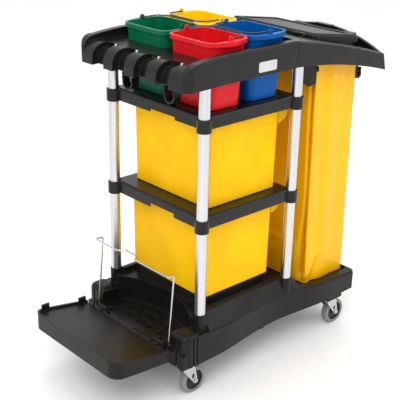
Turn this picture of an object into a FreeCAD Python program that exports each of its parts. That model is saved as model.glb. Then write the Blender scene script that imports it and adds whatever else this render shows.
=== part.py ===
import FreeCAD, Part
import math
import os

# Housekeeping cart, millimetres, +Z up, resting on the floor at Z = 0.
# It is laid out from the pair of posts at the mop end: X = 0 on their axes, +X towards
# the bag end, Y = 0 on the centre line. Every piece is then moved along X, so that the
# origin lies under the middle of the cart.

V = FreeCAD.Vector

# ---- driving dimensions -------------------------------------------------------------
DECK_END = 868.0            # bag end of the top deck, at the skirt's lower edge
DECK_CREST = 851.0          # the same end at the top of the rim
DECK_NOSE = -118.0          # mop end of the top deck
DECK_HALF = 279.5           # half width of the deck, the widest piece
DECK_TOP = 1203.0           # top of the deck's rim
DECK_WALL = 4.0             # moulded wall
PAN_FLOOR = 1172.0          # sunken tray that the pails pass through
PAN_X = (-40.0, 395.0)
PAN_HALF = 250.0
SKIRT_EDGE = 1110.0         # lower edge of the deck's skirt along the posts
SINK = 26.0                 # depth of the tray round the lid below the skirt's top

POST_DX = 432.0             # post spacing along the cart
POST_HALF = 235.5           # half the post spacing across it
POST_R = 19.2
POST_WALL = 2.0
POST_BOTTOM = 240.0
POST_VISIBLE = 299.0        # top of the sockets in the base
POST_TOP = 1150.0
FIT = 0.15                  # play of a post in a socket or a collar

COLLAR_R = 25.0
MIDDLE_Z = 604.6            # lower end of the middle shelf's collars
UPPER_Z = 952.7             # lower end of the upper shelf's collars
COLLAR_H = 45.0
SHELF_RISE = 6.0            # shelf top above its collars
SHELF_HALF = 240.0
SHELF_WALL = 4.0
NOTCH_Y = (-92.0, 36.0)     # hand notch in the shelf's mop-end face
NOTCH_RISE = 14.0

WHEEL_R = 50.8              # 4 in casters
WHEEL_W = 28.0
TRAIL = 35.0                # wheel centre behind its swivel axis
CASTER_X = (-67.0, 694.0)
CASTER_Y = 235.0
CASTER_H = 127.0
AXLE_R = 5.0
RUNNING = 0.06              # radial play of a pin in its bore
SWIVEL_GAP = 0.4

BASE_X = (-102.0, 808.0)
BASE_HALF = 277.0
BASE_CORNER = 34.0
BASE_WAIST = 250.0          # half width at the narrowest place
WAIST_X = 350.0
WAIST_ENDS = (40.0, 660.0)  # X where the waist begins and ends
RAIL_INNER = 208.0          # rail between the posts: inner face and outer edge of its crest
RAIL_CREST = 228.0
SOCKET_R = 22.0
PLINTH_X = (56.0, 366.0)
PLINTH_HALF = 188.0
PLINTH_TOP = 319.0
WELL_FLOOR = 186.0
WELL_HALF = 213.0
WELL_RIM = 280.0            # ledge round the well, below the plinth
WELL_ARC = (-25.0, 46.0)    # X of the well's curved back wall at its ends and middle
BAG_FLOOR = 210.0

TUB_DX = 334.0
TUB_HALF = 197.0
TUB_H = 285.0
TUB_LIP = 40.0
TUB_LIP_H = 22.0
LOWER_TUB = (48.0, 319.6)   # X of the mop-end wall and Z of the underside
UPPER_TUB = (60.0, 656.2)

PAIL_DX = 178.0             # pail rim, along and across the cart
PAIL_DY = 224.0
PAIL_BOW = 12.0             # how far the rim's outer end bows out
PAIL_PITCH_X = 181.0
PAIL_PITCH_Y = 234.0
PAIL_CENTRE_X = 210.0
PAIL_BOTTOM = 1004.2
PAIL_TOP = 1229.0
PAIL_WALL = 2.5
PAIL_WIRE_R = 2.4
EAR_PIN_Z = 1235.0

LID_X = (540.0, 790.0)
LID_HALF = 208.5
LID_Z = (1194.0, 1158.0)    # top of the lid at its mop side and its bag side
LID_SKIRT = 28.0
LID_WALL = 3.5
LID_PIN = (527.0, 1185.0)   # X and Z of the lid's hinge
MOUTH_X = (556.0, 768.0)    # bag opening in the deck
MOUTH_HALF = 193.0

BAG_TOP = (560.0, 798.0, 204.0)     # X range and half width of the bag at its top
BAG_BOTTOM = (574.0, 799.0, 214.0)
BAG_WALL = 3.0

PLATFORM_X = (-372.5, -139.0)
PLATFORM_HALF = 239.0
PLATFORM_UNDER = (181.0, 162.0)     # underside at the free edge and at the hinge
PLATFORM_RIM = (244.0, 204.0)       # top of the side walls at the same two places
PLATFORM_WALL = 9.0
PLATFORM_CORNER = 42.0
HINGE_X = -121.0
HINGE_Z = 200.0
HINGE_PIN_R = 4.0

BAIL_R = 3.0
BAIL_PIVOT = (-111.0, 200.0)
BAIL_HALF = 198.0
BAIL_TOP = 461.0
BAIL_LEAN = 24.0            # how far the top leans towards the cart

GROOVE_Y = (-165.0, -55.0, 55.0, 165.0)
GROOVE_W = 62.0
PEG_TOP = 1182.0
BRACKET_Y = (-108.0, 108.0)
BRACKET_X = -24.0

CENTRE_X = (PLATFORM_X[0] + DECK_END) / 2.0
SIDES = (("near", -1.0), ("far", 1.0))
ENDS = (("mop", 0), ("bag", 1))


# ---- building blocks ------------------------------------------------------------------
def box(x0, x1, y0, y1, z0, z1):
    return Part.makeBox(x1 - x0, y1 - y0, z1 - z0, V(x0, y0, z0))


def rod(radius, start, end):
    way = V(*end) - V(*start)
    return Part.makeCylinder(radius, way.Length, V(*start), way)


def tube(outer, inner, start, end):
    return rod(outer, start, end).cut(rod(inner, start, end))


def mirrored(shape):
    return shape.mirror(V(0, 0, 0), V(0, 1, 0))


def on_side(shape, side):
    """The shape as drawn for the far side, or its mirror image for the near side."""
    return shape if side > 0 else mirrored(shape)


def fused(shapes):
    whole = shapes[0]
    for other in shapes[1:]:
        whole = whole.fuse(other)
    return whole.removeSplitter()


def outline(start, steps):
    """Closed wire from a start point; each step is (end,) for a line or (middle, end) for an arc."""
    here = V(*start)
    edges = []
    for step in steps:
        there = V(*step[-1])
        if len(step) == 2:
            edges.append(Part.Arc(here, V(*step[0]), there).toShape())
        else:
            edges.append(Part.makeLine(here, there))
        here = there
    edges.append(Part.makeLine(here, V(*start)))
    return Part.Wire(edges)


def side_profile(start, steps, y0, y1):
    """Extrude an outline drawn as (x, z) pairs across the cart, from y0 to y1."""
    lifted = [tuple((p[0], y0, p[1]) for p in step) for step in steps]
    face = Part.Face(outline((start[0], y0, start[1]), lifted))
    return face.extrude(V(0, y1 - y0, 0))


def end_profile(start, steps, x0, x1):
    """Extrude an outline drawn as (y, z) pairs along the cart, from x0 to x1."""
    lifted = [tuple((x0, p[0], p[1]) for p in step) for step in steps]
    face = Part.Face(outline((x0, start[0], start[1]), lifted))
    return face.extrude(V(x1 - x0, 0, 0))


def rounded_wire(x0, x1, y0, y1, z, r, bow=0.0):
    """Rectangle in plan with round corners; its far side may bow outwards."""
    c = r * (1.0 - math.sqrt(0.5))
    far_side = (((x0 + x1) / 2.0, y1 + bow, z), (x0 + r, y1, z)) if bow else ((x0 + r, y1, z),)
    steps = [((x1 - r, y0, z),),
             ((x1 - c, y0 + c, z), (x1, y0 + r, z)),
             ((x1, y1 - r, z),),
             ((x1 - c, y1 - c, z), (x1 - r, y1, z)),
             far_side,
             ((x0 + c, y1 - c, z), (x0, y1 - r, z)),
             ((x0, y0 + r, z),),
             ((x0 + c, y0 + c, z), (x0 + r, y0, z))]
    here = V(x0 + r, y0, z)
    edges = []
    for step in steps:
        there = V(*step[-1])
        if len(step) == 2:
            edges.append(Part.Arc(here, V(*step[0]), there).toShape())
        else:
            edges.append(Part.makeLine(here, there))
        here = there
    return Part.Wire(edges)


def slab(x0, x1, y0, y1, z0, z1, r):
    """Box with round vertical corners."""
    return Part.Face(rounded_wire(x0, x1, y0, y1, z0, r)).extrude(V(0, 0, z1 - z0))


def tapered(bottom, top, z0, z1, r0, r1):
    """Loft between two rounded rectangles, each given as (x0, x1, half width)."""
    low = rounded_wire(bottom[0], bottom[1], -bottom[2], bottom[2], z0, r0)
    high = rounded_wire(top[0], top[1], -top[2], top[2], z1, r1)
    return Part.makeLoft([low, high], True, True)


def bent_wire(points, radius, bend):
    """Round wire along straight runs joined by tangent arcs."""
    corners = [V(*p) for p in points]
    edges = []
    here = corners[0]
    for before, corner, after in zip(corners, corners[1:], corners[2:]):
        back = (before - corner).normalize()
        ahead = (after - corner).normalize()
        half = back.getAngle(ahead) / 2.0
        reach = bend / math.tan(half)
        first = corner + back * reach
        last = corner + ahead * reach
        towards = (back + ahead).normalize()
        middle = corner + towards * (bend / math.sin(half) - bend)
        edges.append(Part.makeLine(here, first))
        edges.append(Part.Arc(first, middle, last).toShape())
        here = last
    edges.append(Part.makeLine(here, corners[-1]))
    path = Part.Wire(edges)
    start = (corners[1] - corners[0]).normalize()
    section = Part.Wire([Part.makeCircle(radius, corners[0], start)])
    return path.makePipeShell([section], True, True)


def rounded_off(shape, radius, chosen):
    """Fillet the edges whose middle point passes the test."""
    edges = [e for e in shape.Edges if chosen(e.BoundBox.Center, e)]
    return shape.makeFillet(radius, edges)


def line_at(x, pair, span):
    """Height of a straight line given by its two end heights over a span of X."""
    share = (x - span[0]) / (span[1] - span[0])
    return pair[0] + share * (pair[1] - pair[0])


# ---- structure --------------------------------------------------------------------------
def post(x, side):
    y = side * POST_HALF
    return tube(POST_R, POST_R - POST_WALL, (x, y, POST_BOTTOM), (x, y, POST_TOP))


def shelf(low):
    """Inverted tray with a collar round each post and a hand notch at the mop end."""
    top = low + COLLAR_H + SHELF_RISE
    under = low + SHELF_RISE
    x0, x1 = 0.0, POST_DX + 2.0
    body = slab(x0, x1, -SHELF_HALF, SHELF_HALF, under, top, 20.0)
    body = rounded_off(body, 9.0, lambda c, e: abs(c.z - top) < 0.01)
    hollow = slab(x0 + SHELF_WALL, x1 - SHELF_WALL, -SHELF_HALF + SHELF_WALL, SHELF_HALF - SHELF_WALL,
                  under - 1.0, top - 12.0, 16.0)
    body = body.cut(hollow)
    notch = side_profile((x0 - 1.0, under - 1.0),
                         [((x0 + 30.0, under - 1.0),), ((x0 + 30.0, under + NOTCH_RISE),),
                          ((x0 - 1.0, under + NOTCH_RISE),)], NOTCH_Y[0], NOTCH_Y[1])
    body = body.cut(notch)
    ribs = []
    for x in (96.0, 192.0, 288.0, 384.0):
        ribs.append(box(x, x + 3.0, -SHELF_HALF + 2.0, SHELF_HALF - 2.0, top - 30.0, top - 10.0))
    for y in (-120.0, 0.0, 120.0):
        ribs.append(box(x0 + 2.0, x1 - 2.0, y - 1.5, y + 1.5, top - 30.0, top - 10.0))
    collars = []
    bores = []
    for x in (0.0, POST_DX):
        for _, side in SIDES:
            y = side * POST_HALF
            collar = rod(COLLAR_R, (x, y, low), (x, y, low + COLLAR_H))
            collar = rounded_off(collar, 2.0, lambda c, e: e.Length > 100.0)
            collars.append(collar)
            bores.append(rod(POST_R + FIT, (x, y, low - 5.0), (x, y, top + 5.0)))
            # the tray stops at the collar, which stands open above it
            bores.append(rod(COLLAR_R - 1.0, (x, y, low + COLLAR_H), (x, y, top + 5.0)))
    body = fused([body] + ribs + collars)
    for bore in bores:
        body = body.cut(bore)
    return body


def waist_curve(sign, inset):
    """The long side of the base's plan, where it draws in to the waist."""
    start_x, end_x = WAIST_ENDS
    half = BASE_HALF - inset
    waist = BASE_WAIST - inset
    quarter = (half + waist) / 2.0
    points = [V(start_x, sign * half, 0), V((start_x + WAIST_X) / 2.0, sign * quarter, 0),
              V(WAIST_X, sign * waist, 0), V((end_x + WAIST_X) / 2.0, sign * quarter, 0),
              V(end_x, sign * half, 0)]
    spline = Part.BSplineCurve()
    spline.interpolate(Points=points, InitialTangent=V(1, 0, 0), FinalTangent=V(1, 0, 0))
    return spline


def base_plan(inset):
    """Plan outline of the base: square ends and a waist between them."""
    x0, x1 = BASE_X[0] + inset, BASE_X[1] - inset
    half = BASE_HALF - inset
    start_x, end_x = WAIST_ENDS
    r = BASE_CORNER
    c = r * (1.0 - math.sqrt(0.5))
    z = 0.0

    edges = [Part.Arc(V(x0, -half + r, z), V(x0 + c, -half + c, z), V(x0 + r, -half, z)).toShape(),
             Part.makeLine(V(x0 + r, -half, z), V(start_x, -half, z)),
             waist_curve(-1.0, inset).toShape(),
             Part.makeLine(V(end_x, -half, z), V(x1 - r / 2.0, -half, z)),
             Part.makeLine(V(x1 - r / 2.0, -half, z), V(x1, -half + r / 2.0, z)),
             Part.makeLine(V(x1, -half + r / 2.0, z), V(x1, half - r / 2.0, z)),
             Part.makeLine(V(x1, half - r / 2.0, z), V(x1 - r / 2.0, half, z)),
             Part.makeLine(V(x1 - r / 2.0, half, z), V(end_x, half, z)),
             waist_curve(1.0, inset).toShape(),
             Part.makeLine(V(start_x, half, z), V(x0 + r, half, z)),
             Part.Arc(V(x0 + r, half, z), V(x0 + c, half - c, z), V(x0, half - r, z)).toShape(),
             Part.makeLine(V(x0, half - r, z), V(x0, -half + r, z))]
    return Part.Face(Part.Wire(edges))


def base_well():
    """Room for a mop bucket at the mop end, with a curved back wall."""
    x0 = BASE_X[0] - 2.0
    half = WELL_HALF
    end, middle = WELL_ARC
    wide = Part.Face(outline((-28.0, -half, WELL_FLOOR),
                             [((end, -half, WELL_FLOOR),),
                              ((middle, 0.0, WELL_FLOOR), (end, half, WELL_FLOOR)),
                              ((-28.0, half, WELL_FLOOR),)]))
    mouth = box(x0, -12.0, -188.0, 188.0, WELL_FLOOR, 330.0)
    return fused([wide.extrude(V(0, 0, WELL_RIM - WELL_FLOOR + 1.0)), mouth])


def skirt_half(x):
    """Half width of the base's skirt at a place along the cart."""
    if x <= WAIST_ENDS[0]:
        return BASE_HALF
    spline = waist_curve(1.0, 0.0)
    low, high = spline.FirstParameter, spline.LastParameter
    for _ in range(30):
        middle = (low + high) / 2.0
        if spline.value(middle).x < x:
            low = middle
        else:
            high = middle
    return spline.value(low).y


def rail(skirt_top):
    """Lengths of the rail between the posts: level crest, outer face that leans out to the skirt."""
    crest = POST_VISIBLE - 1.0
    sections = []
    for x, top in ((16.0, crest), (60.0, crest), (110.0, crest), (165.0, crest), (220.0, crest),
                   (275.0, crest), (330.0, crest), (385.0, crest), (POST_DX + 22.0, crest),
                   (496.0, 262.0), (548.0, 226.0)):
        foot = line_at(x, skirt_top, BASE_X) - 9.5
        out = skirt_half(x) - 0.8
        crown = max(top, foot + 16.0)
        points = [V(x, RAIL_INNER, foot - 12.0), V(x, out, foot - 12.0), V(x, out, foot),
                  V(x, RAIL_CREST + 4.0, crown - 4.0), V(x, RAIL_CREST - 4.0, crown),
                  V(x, RAIL_INNER, crown)]
        sections.append(Part.makePolygon(points + [points[0]]))
    return [Part.makeLoft([a, b], True, True) for a, b in zip(sections, sections[1:])]


def base_platform():
    low, high = 120.0, 250.0
    skirt_top = (241.0, 221.0)
    skirt_low = (CASTER_H, 147.0)
    body = base_plan(0.0).extrude(V(0, 0, high - low))
    body.translate(V(0, 0, low))
    wedge = side_profile((BASE_X[0] - 5.0, skirt_top[0]),
                         [((BASE_X[1] + 5.0, skirt_top[1]),), ((BASE_X[1] + 5.0, high + 5.0),),
                          ((BASE_X[0] - 5.0, high + 5.0),)], -300.0, 300.0)
    under = side_profile((BASE_X[0] - 5.0, skirt_low[0]),
                         [((BASE_X[1] + 5.0, skirt_low[1]),), ((BASE_X[1] + 5.0, low - 5.0),),
                          ((BASE_X[0] - 5.0, low - 5.0),)], -300.0, 300.0)
    body = body.cut(wedge).cut(under)

    def outer_top(c, e):
        share = line_at(c.x, skirt_top, BASE_X)
        return abs(c.z - share) < 1.5 and e.BoundBox.ZLength < 18.0
    body = rounded_off(body, 8.0, outer_top)

    parts = [body]
    # raised block that carries the lower tub
    plinth = tapered((PLINTH_X[0] - 6.0, PLINTH_X[1] + 10.0, PLINTH_HALF + 8.0),
                     (PLINTH_X[0], PLINTH_X[1], PLINTH_HALF), 200.0, PLINTH_TOP, 14.0, 12.0)
    parts.append(rounded_off(plinth, 5.0, lambda c, e: abs(c.z - PLINTH_TOP) < 0.01))
    # ledge round the well
    ledge = slab(-17.0, PLINTH_X[0] + 6.0, -214.0, 214.0, 200.0, WELL_RIM, 6.0)
    parts.append(rounded_off(ledge, 3.0, lambda c, e: abs(c.z - WELL_RIM) < 0.01))
    for _, side in SIDES:
        parts.extend(on_side(length, side) for length in rail(skirt_top))
        # housings over the casters at the mop end
        housing = slab(BASE_X[0] - 2.0, -24.0, 192.0, BASE_HALF, 150.0, 252.0, 30.0)
        housing = rounded_off(housing, 20.0, lambda c, e: abs(c.z - 252.0) < 0.01)
        parts.append(on_side(housing, side))
        for x, low_end in ((0.0, 200.0), (POST_DX, 240.0)):
            y = side * POST_HALF
            socket = rod(SOCKET_R, (x, y, low_end), (x, y, POST_VISIBLE))
            parts.append(rounded_off(socket, 1.5, lambda c, e: abs(c.z - POST_VISIBLE) < 0.01))
        # stepped buttress on the outside of the free-standing socket
        step = slab(8.0, 30.0, 226.0, 256.0, 200.0, 288.0, 6.0)
        step = rounded_off(step, 4.0, lambda c, e: abs(c.z - 288.0) < 0.01)
        parts.append(on_side(step, side))
        for x in CASTER_X:
            y = side * CASTER_Y
            parts.append(box(x - 40.0, x + 40.0, y - 38.0, y + 38.0, CASTER_H, 180.0))
        parts.append(on_side(slab(296.0, 318.0, 228.0, 248.0, 129.0, 160.0, 4.0), side))
    body = fused(parts)

    body = body.cut(base_well())
    # floor pockets of the well, in two rows
    for x, half in ((-62.0, 150.0), (-14.0, 130.0)):
        count = 5
        pitch = 2.0 * half / count
        for i in range(count):
            y = -half + pitch * (i + 0.5)
            pocket = slab(x - 18.0, x + 18.0, y - pitch / 2.0 + 6.0, y + pitch / 2.0 - 6.0,
                          WELL_FLOOR - 8.0, WELL_FLOOR + 1.0, 8.0)
            body = body.cut(pocket)
    # floor under the bag
    bag_well = slab(486.0, 799.0, -240.0, 240.0, BAG_FLOOR, 260.0, 20.0)
    keep = fused([rod(27.0, (POST_DX, s * POST_HALF, 200.0), (POST_DX, s * POST_HALF, 310.0))
                  for _, s in SIDES])
    body = body.cut(bag_well.cut(keep))
    # flutes down the housings, beside the well
    for _, side in SIDES:
        for x in (-66.0, -50.0):
            flute = slab(x, x + 7.0, BASE_HALF - 8.0, BASE_HALF + 12.0, 100.0, 240.0, 3.0)
            body = body.cut(on_side(flute, side))
        front = slab(BASE_X[0] - 12.0, BASE_X[0] + 4.0, 232.0, 240.0, 100.0, 240.0, 3.0)
        body = body.cut(on_side(front, side))
        for x in (0.0, POST_DX):
            y = side * POST_HALF
            body = body.cut(rod(POST_R + FIT, (x, y, POST_BOTTOM), (x, y, 320.0)))
    # hollow underside
    for room in (box(-20.0, 640.0, -228.0, 228.0, 100.0, 172.0),
                 box(66.0, 356.0, -178.0, 178.0, 100.0, PLINTH_TOP - 9.0),
                 box(500.0, 640.0, -228.0, 228.0, 100.0, BAG_FLOOR - 7.0),
                 box(748.0, 798.0, -228.0, 228.0, 100.0, BAG_FLOOR - 7.0),
                 box(640.0, 748.0, -190.0, 190.0, 100.0, BAG_FLOOR - 7.0),
                 box(-92.0, -20.0, -186.0, 186.0, 100.0, 172.0)):
        body = body.cut(room)
    return body


def deck_side():
    """Side view of the deck: rolled nose, level rim and the long fall to the bag end."""
    return ((DECK_NOSE, 1105.0),
            [((DECK_NOSE + 2.0, 1140.0),),
             ((-99.0, 1177.0), (-62.0, 1192.0)),
             ((0.0, 1199.0), (80.0, DECK_TOP)),
             ((375.0, DECK_TOP),),
             ((620.0, 1157.0), (DECK_CREST, 1095.0)),
             ((DECK_END, 1030.0),),
             ((640.0, 1083.0), (383.0, 1113.0)),
             ((60.0, SKIRT_EDGE),)])


def fall_height(x):
    """Height of the skirt's top over the falling half of the deck."""
    share = (x - 375.0) / (DECK_CREST - 375.0)
    return DECK_TOP - 84.0 * share - 24.0 * share * share


def nose_cut(drop, half):
    """Room above the low middle of the nose, so that the tray runs out over it."""
    return side_profile((-140.0, 1300.0),
                        [((-140.0, 1118.0 + drop),), ((-117.4 - drop, 1118.0 + drop),),
                         ((-106.0 - drop * 0.7, 1156.0 + drop * 0.7), (-66.0, PAN_FLOOR + 3.0 + drop)),
                         ((PAN_X[0] + 30.0, PAN_FLOOR + drop),), ((PAN_X[0] + 30.0, 1300.0),)],
                        -half, half)


def top_deck():
    start, steps = deck_side()
    body = side_profile(start, steps, -DECK_HALF, DECK_HALF)
    plan = slab(DECK_NOSE - 1.0, DECK_END + 40.0, -DECK_HALF, DECK_HALF, 1000.0, 1230.0, 38.0)
    body = body.common(plan)

    def long_top(c, e):
        return abs(abs(c.y) - DECK_HALF) < 0.5 and e.Length > 200.0 and c.z > 1125.0
    body = rounded_off(body, 7.0, long_top)

    # arched rim across the bag end, with raised pads along its crest
    arch = end_profile((-DECK_HALF + 6.0, 1060.0),
                       [((DECK_HALF - 6.0, 1060.0),), ((DECK_HALF - 6.0, 1092.0),),
                        ((0.0, 1158.0), (-DECK_HALF + 6.0, 1092.0))], DECK_CREST - 13.0, DECK_CREST)
    pads = []
    for y0, y1, crown in ((-44.0, 44.0, 1159.5), (62.0, 150.0, 1148.0), (-150.0, -62.0, 1148.0)):
        pads.append(slab(DECK_CREST - 22.0, DECK_CREST - 1.0, y0, y1, 1090.0, crown, 8.0))
    body = fused([body, arch] + pads)

    # sunken trays: one that the pails pass through, one round the lid
    pan = slab(PAN_X[0], PAN_X[1], -PAN_HALF, PAN_HALF, PAN_FLOOR, 1240.0, 26.0)
    x0, x1 = LID_X[0] - 8.0, DECK_CREST - 22.0
    tray = side_profile((x0, fall_height(x0) - SINK),
                        [((680.0, fall_height(680.0) - SINK), (x1, fall_height(x1) - SINK)),
                         ((x1, 1240.0),), ((x0, 1240.0),)], -256.0, 256.0)
    # hollow underside, one wall inside the outer skin and the trays
    inner_plan = slab(DECK_NOSE + DECK_WALL, DECK_END - DECK_WALL, -DECK_HALF + DECK_WALL,
                      DECK_HALF - DECK_WALL, 1000.0, 1230.0, 34.0)
    hollow = side_profile((start[0] + DECK_WALL, 1000.0),
                          [((start[0] + DECK_WALL + 2.0, 1136.0),),
                           ((-95.0, 1173.0), (-62.0, 1187.0)),
                           ((0.0, 1194.0), (80.0, DECK_TOP - DECK_WALL)),
                           ((375.0, DECK_TOP - DECK_WALL),),
                           ((620.0, 1152.5), (DECK_CREST - DECK_WALL, 1090.0)),
                           ((DECK_END - DECK_WALL, 1026.0),), ((DECK_END - DECK_WALL, 1000.0),)],
                          -DECK_HALF, DECK_HALF).common(inner_plan)
    pan_wall = slab(PAN_X[0] - DECK_WALL, PAN_X[1] + DECK_WALL, -PAN_HALF - DECK_WALL,
                    PAN_HALF + DECK_WALL, PAN_FLOOR - DECK_WALL, 1240.0, 30.0)
    tray_wall = side_profile((x0 - DECK_WALL, fall_height(x0) - SINK - DECK_WALL),
                             [((680.0, fall_height(680.0) - SINK - DECK_WALL),
                               (x1 + DECK_WALL, fall_height(x1) - SINK - DECK_WALL)),
                              ((x1 + DECK_WALL, 1240.0),), ((x0 - DECK_WALL, 1240.0),)],
                             -256.0 - DECK_WALL, 256.0 + DECK_WALL)
    bosses = []
    for _, side in SIDES:
        for x in (0.0, POST_DX):
            y = side * POST_HALF
            bosses.append(rod(25.0, (x, y, SKIRT_EDGE + 3.0), (x, y, 1240.0)))
    # webs behind the nose, between the grooves
    for y in (-220.0, 0.0, 220.0):
        bosses.append(box(DECK_NOSE, PAN_X[0], y - 2.0, y + 2.0, SKIRT_EDGE + 6.0, 1240.0))
    # skin behind the grooves of the nose
    groove_skin = side_profile((-92.0, 1105.0),
                               [((-90.0, 1126.0),), ((-80.0, 1148.0), (-60.0, 1158.0)),
                                ((-44.0, 1161.0),), ((-44.0, 1156.0),), ((-60.0, 1153.0),),
                                ((-77.0, 1144.0), (-86.0, 1126.0)), ((-88.0, 1105.0),)],
                               -DECK_HALF, DECK_HALF)
    groove_keep = []
    for y in GROOVE_Y:
        half = GROOVE_W / 2.0 + DECK_WALL
        cheek = box(DECK_NOSE, -40.0, y - half, y + half, 1105.0, 1240.0)
        rim = cheek.cut(box(DECK_NOSE, -40.0, y - half + DECK_WALL, y + half - DECK_WALL, 1105.0, 1240.0))
        groove_keep.append(rim)
        groove_keep.append(groove_skin.common(cheek))
    hollow = hollow.cut(pan_wall).cut(tray_wall).cut(nose_cut(-DECK_WALL, PAN_HALF + DECK_WALL))
    for solid in bosses + groove_keep:
        hollow = hollow.cut(solid)
    body = body.cut(hollow).cut(pan).cut(tray).cut(nose_cut(0.0, PAN_HALF))

    # grooves for tool handles, cut through the rolled nose
    groove = side_profile((-92.0, 1095.0),
                          [((-90.0, 1126.0),), ((-80.0, 1148.0), (-60.0, 1158.0)),
                           ((-44.0, 1161.0),), ((-44.0, 1240.0),), ((-150.0, 1240.0),),
                           ((-150.0, 1095.0),)], -GROOVE_W / 2.0, GROOVE_W / 2.0)
    for y in GROOVE_Y:
        cutter = groove.copy()
        cutter.translate(V(0, y, 0))
        body = body.cut(cutter)

    # four pail openings
    for x in (-0.5, 0.5):
        for y in (-0.5, 0.5):
            cx = PAIL_CENTRE_X + x * PAIL_PITCH_X
            cy = y * PAIL_PITCH_Y
            body = body.cut(slab(cx - 83.0, cx + 83.0, cy - 106.0, cy + 106.0, 1140.0, 1190.0, 36.0))
    # collar round the bag opening, which the lid covers
    collar = slab(MOUTH_X[0] - 6.0, MOUTH_X[1] + 6.0, -MOUTH_HALF - 6.0, MOUTH_HALF + 6.0,
                  1070.0, 1200.0, 16.0)
    above = side_profile((500.0, line_at(500.0, LID_Z, LID_X) - 16.0),
                         [((840.0, line_at(840.0, LID_Z, LID_X) - 16.0),), ((840.0, 1300.0),),
                          ((500.0, 1300.0),)], -300.0, 300.0)
    below = side_profile((500.0, fall_height(500.0) - SINK - 3.0),
                         [((680.0, fall_height(680.0) - SINK - 3.0),
                           (840.0, fall_height(840.0) - SINK - 3.0)), ((840.0, 900.0),),
                          ((500.0, 900.0),)], -300.0, 300.0)
    collar = collar.cut(above).cut(below)
    body = fused([body, collar])
    mouth = slab(MOUTH_X[0], MOUTH_X[1], -MOUTH_HALF, MOUTH_HALF, 1040.0, 1240.0, 12.0)
    body = body.cut(mouth)
    # post sockets, raised ribs down the near and far skirts, and the recess for the plate
    for _, side in SIDES:
        for x in (0.0, POST_DX):
            y = side * POST_HALF
            body = body.cut(rod(POST_R + FIT, (x, y, 1050.0), (x, y, POST_TOP + 0.5)))
        for x in (-92.0, 78.0, 378.0):
            top = DECK_TOP - 8.0 if x > 0 else 1150.0
            rib = box(x - 1.5, x + 1.5, DECK_HALF - 2.0, DECK_HALF, SKIRT_EDGE + 4.0, top)
            slit = rib.copy()
            slit.translate(V(0, 1.2, 0))
            body = body.cut(on_side(slit, side))
    body = body.cut(plate_shape(0.2))
    # sockets for the lid's hinge pins
    for _, side in SIDES:
        ear = box(LID_PIN[0] - 5.0, LID_PIN[0] + 5.0, 150.0, 170.0, 1150.0, LID_PIN[1] + 6.0)
        body = fused([body, on_side(ear, side)])
    for y0, y1 in lid_pin_spans():
        body = body.cut(lid_pin(3.0 + RUNNING, y0, y1))
    return body


def lid_pin_spans():
    return ((-172.0, -130.0), (130.0, 172.0))


def plate_shape(play):
    """Blank name plate, let into the near skirt."""
    x0, x1, z0, z1 = 193.0, 277.0, 1124.0, 1158.0
    inner = DECK_HALF - 1.6 - play
    face = Part.Face(rounded_wire(x0 - play, x1 + play, z0 - play, z1 + play, 0.0, 7.0))
    solid = face.extrude(V(0, 0, DECK_HALF - inner + (1.0 if play else 0.0)))
    solid.rotate(V(0, 0, 0), V(1, 0, 0), 90.0)
    solid.translate(V(0, -inner, 0))
    return solid


def tool_bracket(y):
    """Stirrup that hangs under the nose: a ribbed loop, open along the cart."""
    half, low, high = 27.0, 1024.0, 1110.0
    x0, x1 = BRACKET_X - 15.0, BRACKET_X + 15.0

    def loop(w, bottom, top, xa, xb):
        return end_profile((y - w, top), [((y - w, bottom + w),), ((y, bottom), (y + w, bottom + w)),
                                          ((y + w, top),)], xa, xb)
    body = loop(half, low, high, x0, x1).cut(loop(half - 7.0, low + 8.0, high - 12.0, x0 - 1.0, x1 + 1.0))
    ribs = []
    for z in (1062.0, 1074.0, 1086.0):
        for sign in (-1.0, 1.0):
            edge = y + sign * half
            ribs.append(box(x0 - 2.0, x1 + 2.0, min(edge, edge - sign * 9.0), max(edge, edge - sign * 9.0),
                            z, z + 4.0))
    head = box(x0, x1, y - half, y + half, high - 12.0, PAN_FLOOR - DECK_WALL - 20.0)
    flange = box(PAN_X[0] + 0.5, PAN_X[0] + 62.0, y - half, y + half, PAN_FLOOR - DECK_WALL - 22.0,
                 PAN_FLOOR - DECK_WALL - 0.1)
    return fused([body, head, flange] + ribs)


def tool_pegs():
    """Small rounded stops at one edge of each groove."""
    pegs = []
    for y in GROOVE_Y:
        across = y - GROOVE_W / 2.0 - 9.0
        peg = rod(5.0, (-70.0, across, 1173.6), (-70.0, across, PEG_TOP))
        pegs.append(rounded_off(peg, 3.0, lambda c, e: abs(c.z - PEG_TOP) < 0.01))
    return Part.makeCompound(pegs)


def bag_tab(side):
    """Pointed plate under the skirt that the bag's inner corner hangs from."""
    points = [((474.0, 1034.0),), ((504.0, 1014.0),), ((542.0, 1020.0),), ((538.0, 1130.0),)]
    plate = side_profile((474.0, 1130.0), points, 222.0, 227.0)
    foot = side_profile((474.0, 1130.0),
                        [((538.0, 1130.0),), ((538.0, 1122.0),), ((474.0, 1122.0),)], 222.0, 256.0)
    hook = side_profile((520.0, 1060.0), [((558.0, 1060.0),), ((558.0, 1078.0),), ((552.0, 1078.0),),
                                          ((552.0, 1066.0),), ((520.0, 1066.0),)], 214.0, 223.0)
    return on_side(fused([plate, foot, hook]), side)


def bag_hook(side):
    """Curled hook under the deck that the bag's outer corner hangs from."""
    shape = side_profile((800.0, 1074.0),
                         [((800.0, 1012.0),), ((814.0, 989.0), (829.0, 1012.0)), ((829.0, 1030.0),),
                          ((822.0, 1030.0),), ((822.0, 1014.0),), ((814.0, 999.0), (808.0, 1014.0)),
                          ((808.0, 1074.0),)], 186.0, 200.0)
    return on_side(shape, side)


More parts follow.
